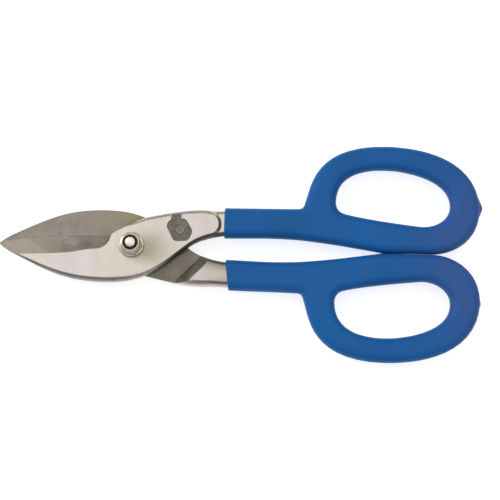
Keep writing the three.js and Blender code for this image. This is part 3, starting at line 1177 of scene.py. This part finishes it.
def ground_steel(colours, name, share):
    """Wheel-ground faces: mottled grey with faint tints, and an oily stain beside the pivot."""
    f = Finish(name)
    ground = shade(tuple(colours.ground), share)
    mottle = f.noise(120, 5, 0.6)
    cloud = f.noise(55, 3, 0.5, stretch=(0.7, 1.6, 1))
    lines = f.noise(2200, 3, 0.6, stretch=(0.05, 1, 1))
    base = f.shades(mottle, ground, (0.36, 0.78), (0.5, 1), (0.64, 1.2))
    base = f.mix(f.ramp(cloud, (0.5, 0.0), (0.6, 0.7)), base, tinted(ground, (1.04, 1.0, 1.0)))
    base = f.mix(f.ramp(cloud, (0.4, 0.7), (0.5, 0.0)), base, tinted(ground, (0.86, 0.89, 0.83)))

    # An olive bloom, with the oily stain inside it, broken up by the mottle.
    base = f.tint_spot(base, 0.8, tinted(ground, (0.99, 1.04, 0.8)), 1.4, -3, 17, 28, 13)
    stain = f.spot(3.0, 3, 16.4, 15, 4.6, math.radians(29))
    base = f.mix(f.times(stain, f.ramp(mottle, (0.3, 0.35), (0.65, 1.0))), base, (0.19, 0.155, 0.055))
    return f.put(
        Base_Color=base,
        Metallic=1.0,
        Roughness=f.ramp(mottle, (0.3, 0.42), (0.7, 0.56)),
        Normal=f.bump(lines, 0.14, 0.00005, f.bump(mottle, 0.12, 0.0001)),
    )


def forging_skin(colours):
    """Edges that no wheel has touched: dark, uneven scale, with painted shade from the scale attribute on
    top.
    """
    f = Finish("Forging skin")
    scale = tuple(colours.scale)
    patch = f.noise(150, 5, 0.65)
    base = f.shades(patch, tinted(scale, (2.6, 2.8, 3.3)), (0.38, 0.8), (0.5, 1), (0.62, 1.15))
    return f.put(
        Base_Color=f.darken_scale_and_shade(base, shade(scale, 0.2)),
        Metallic=0.9,
        Roughness=f.ramp(patch, (0.3, 0.38), (0.7, 0.55)),
        Normal=f.bump(patch, 0.35, 0.0003),
    )


def worn_flat(colours, name, share):
    """The shank's inner flat and its ramp, dark and only roughly ground."""
    f = Finish(name)
    scale = shade(tuple(colours.scale), share)
    patch = f.noise(110, 5, 0.6)
    return f.put(
        Base_Color=f.shades(patch, scale, (0.3, 0.95), (0.5, 1.25), (0.75, 1.7)),
        Metallic=1.0,
        Roughness=f.ramp(patch, (0.3, 0.34), (0.7, 0.48)),
        Normal=f.bump(patch, 0.2, 0.0002),
    )


def pressed_panel(colours):
    """The floor and walls of the pressed panel, darkened by scale."""
    f = Finish("Pressed panel")
    patch = f.noise(320, 5, 0.65)
    return f.put(
        Base_Color=f.shades(patch, tuple(colours.scale), (0.3, 0.7), (0.5, 1.1), (0.75, 2.0)),
        Metallic=0.9,
        Roughness=f.ramp(patch, (0.3, 0.35), (0.7, 0.55)),
        Normal=f.bump(patch, 0.5, 0.0003),
    )


def dipped_vinyl(colours):
    """Satin dipped vinyl: even blue, faintly cloudy, with a fine grain and a painted purplish sheen towards
    the loops' far ends.
    """
    f = Finish("Dipped vinyl")
    vinyl = tuple(colours.vinyl)
    grain = f.noise(1400, 3, 0.6)
    swell = f.noise(90, 3, 0.5)
    base = f.shades(f.noise(22, 3, 0.5), vinyl, (0.3, 0.86), (0.55, 1), (0.75, 1.12))
    # A soft oval about the loops' far ends turns the blue purplish: a painted sheen.
    return f.put(
        Base_Color=f.mix(f.spot(2.0, 215, 0, 60, 110), base, tinted(vinyl, (6.5, 0.94, 0.93))),
        Roughness=f.ramp(swell, (0.3, 0.42), (0.7, 0.52)),
        Specular_IOR_Level=0.16,
        Normal=f.bump(grain, 0.06, 0.0001, f.bump(swell, 0.08, 0.0006)),
    )


def zinc_plate(colours, name, tint):
    """Zinc plating, clouded and slightly worn, tinted as its bath left it."""
    f = Finish(name)
    cloud = f.noise(260, 4, 0.6)
    return f.put(
        Base_Color=f.shades(cloud, tinted(tuple(colours.zinc), tint), (0.3, 0.75), (0.5, 1), (0.72, 1.2)),
        Metallic=1.0,
        Roughness=f.ramp(cloud, (0.3, 0.26), (0.7, 0.4)),
        Normal=f.bump(f.noise(900, 3, 0.6), 0.12, 0.0001),
    )


def thread_dark():
    """The bolt's threads, painted dark for the shade in their grooves."""
    f = Finish("Shaded thread")
    cloud = f.noise(500, 4, 0.6)
    base = f.ramp(cloud, (0.3, (0.06, 0.05, 0.045)), (0.7, (0.16, 0.14, 0.12)))
    return f.put(Base_Color=base, Metallic=1.0, Roughness=f.ramp(cloud, (0.3, 0.3), (0.7, 0.45)))


def dark_nylon(colours):
    """The nut's dark nylon ring."""
    f = Finish("Dark nylon")
    cloud = f.noise(700, 3, 0.5)
    base = f.shades(cloud, tuple(colours.nylon), (0.3, 0.7), (0.7, 1.5))
    return f.put(Base_Color=base, Roughness=f.ramp(cloud, (0.3, 0.5), (0.7, 0.65)))


def pale_floor(colours):
    """A plain matt floor."""
    f = Finish("Pale floor")
    return f.put(
        Base_Color=f.shades(f.noise(1.5, 2, 0.5), tuple(colours.floor), (0.3, 0.99), (0.7, 1)),
        Roughness=0.9,
        Emission_Color=(1, 1, 1),
        Emission_Strength=0.72,
    )


# The stage


def softbox(name, place, aim, size, power, colour=(1, 1, 1)):
    """A large soft lamp at a place, turned to its aim."""
    deselect()
    bpy.ops.object.light_add(type="AREA", location=place)
    lamp = named(name)
    lamp.data.shape = "RECTANGLE"
    lamp.data.size, lamp.data.size_y = size
    lamp.data.energy = power
    lamp.data.color = colour
    lamp.rotation_euler = (Vector(aim) - Vector(place)).to_track_quat("-Z", "Y").to_euler()


class SNIPS_OT_stage(bpy.types.Operator):
    """Sets the pale floor, the soft lamps and the camera"""

    bl_idname = "snips.stage"
    bl_label = "Stage"

    def execute(self, context):
        deselect()
        bpy.ops.mesh.primitive_plane_add(size=6, location=(0, 0, 0))
        floor = named("floor")
        wear(floor, pale_floor(context.scene.snips_colours))

        softbox("overhead", (0.0, 0.3, 1.1), (0, 0, 0), (1.6, 1.2), 5.5)
        softbox("key", (-0.8, 0.3, 0.55), (-0.03, 0, 0), (0.5, 0.5), 3.4, (1, 0.99, 0.97))

        world = bpy.data.worlds.new("Studio")
        context.scene.world = world
        world.use_nodes = True
        nodes, links = world.node_tree.nodes, world.node_tree.links
        direction = nodes.new("ShaderNodeTexCoord").outputs["Generated"]
        split = nodes.new("ShaderNodeSeparateXYZ")
        links.new(direction, split.inputs["Vector"])
        ramp = nodes.new("ShaderNodeValToRGB")
        for element, position, grey in zip(ramp.color_ramp.elements, (0, 0.85), (0.3, 0.62)):
            element.position = position
            element.color = (grey, grey, grey, 1)
        links.new(split.outputs["Z"], ramp.inputs["Fac"])
        links.new(ramp.outputs["Color"], nodes["Background"].inputs["Color"])

        tilt, lean = math.radians(10), math.atan(0.0275)
        target, distance, width_in_view = at(74.5, -0.1, 0), 0.8, 0.3165
        backward = Vector((0, -math.sin(tilt), math.cos(tilt)))
        right = Vector((math.cos(lean), math.sin(lean), 0))
        right = (right - backward * right.dot(backward)).normalized()
        up = backward.cross(right)
        rotation = Matrix((right, up, backward)).transposed().to_euler()
        deselect()
        bpy.ops.object.camera_add(location=target + backward * distance, rotation=rotation)
        camera = context.object
        camera.data.sensor_width = 36
        camera.data.lens = camera.data.sensor_width * distance / width_in_view
        camera.data.clip_end = 20
        context.scene.camera = camera
        context.scene.view_settings.view_transform = "Standard"
        return {"FINISHED"}


class SNIPS_PT_panel(bpy.types.Panel):
    """Lists the snips' sizes, colours and pieces"""

    bl_idname = "SNIPS_PT_panel"
    bl_label = "Tinner's Snips"
    bl_space_type = "VIEW_3D"
    bl_region_type = "UI"
    bl_category = "Snips"

    def draw(self, context):
        layout = self.layout
        for group in (context.scene.snips_sizes, context.scene.snips_colours):
            box = layout.box()
            for name in group.__annotations__:
                box.prop(group, name)
        for operator in PIECES:
            layout.operator(operator.bl_idname)


PIECES = (
    SNIPS_OT_stage,
    SNIPS_OT_forgings,
    SNIPS_OT_grips,
    SNIPS_OT_washers,
    SNIPS_OT_nut,
    SNIPS_OT_bolt,
)
CLASSES = (SnipsSizes, SnipsColours, *PIECES, SNIPS_PT_panel)


def register():
    for cls in CLASSES:
        bpy.utils.register_class(cls)
    bpy.types.Scene.snips_sizes = bpy.props.PointerProperty(type=SnipsSizes)
    bpy.types.Scene.snips_colours = bpy.props.PointerProperty(type=SnipsColours)


def unregister():
    del bpy.types.Scene.snips_colours
    del bpy.types.Scene.snips_sizes
    for cls in reversed(CLASSES):
        bpy.utils.unregister_class(cls)


def main():
    register()
    bpy.ops.snips.stage()
    bpy.ops.snips.forgings()
    bpy.ops.snips.grips()
    bpy.ops.snips.washers()
    bpy.ops.snips.nut()
    bpy.ops.snips.bolt()


if __name__ == "__main__":
    main()
